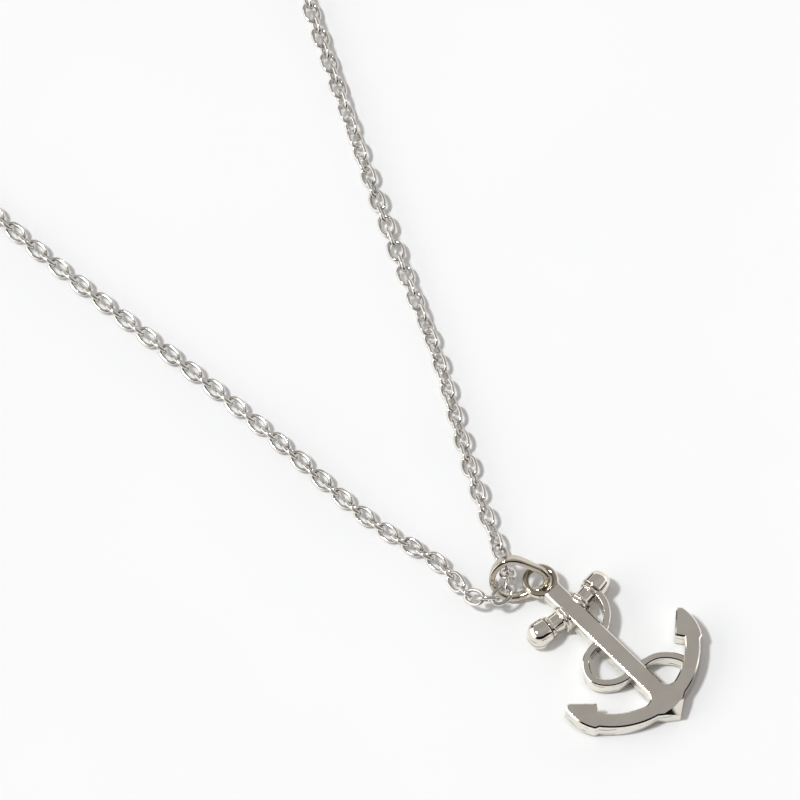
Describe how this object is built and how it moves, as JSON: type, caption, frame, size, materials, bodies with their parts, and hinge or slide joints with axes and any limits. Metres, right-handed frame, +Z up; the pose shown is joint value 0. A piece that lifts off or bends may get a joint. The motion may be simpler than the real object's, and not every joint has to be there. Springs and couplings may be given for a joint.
{
  "type": "anchor pendant necklace",
  "caption": "Polished anchor pendant with a rope round its shank, on a tapered bail and a cable chain that closes at a plain clasp, lying flat.",
  "frame": {"origin": "middle of the laid-out necklace's box, on the surface that it lies on", "axes": "+Z up from the surface; +Y from the pendant towards the clasp end of the loop; +X to the right in the picture, with the pendant at the +X, -Y corner"},
  "size_m": [0.1482, 0.1894, 0.0054],
  "materials": {
    "anchor": "polished",
    "bail": "polished",
    "chain": "polished",
    "clasp": "polished"
  },
  "bodies": {
    "root": {"anchor": "anchor", "bail": "bail", "chain": "chain", "clasp": "clasp"}
  },
  "joints": []
}
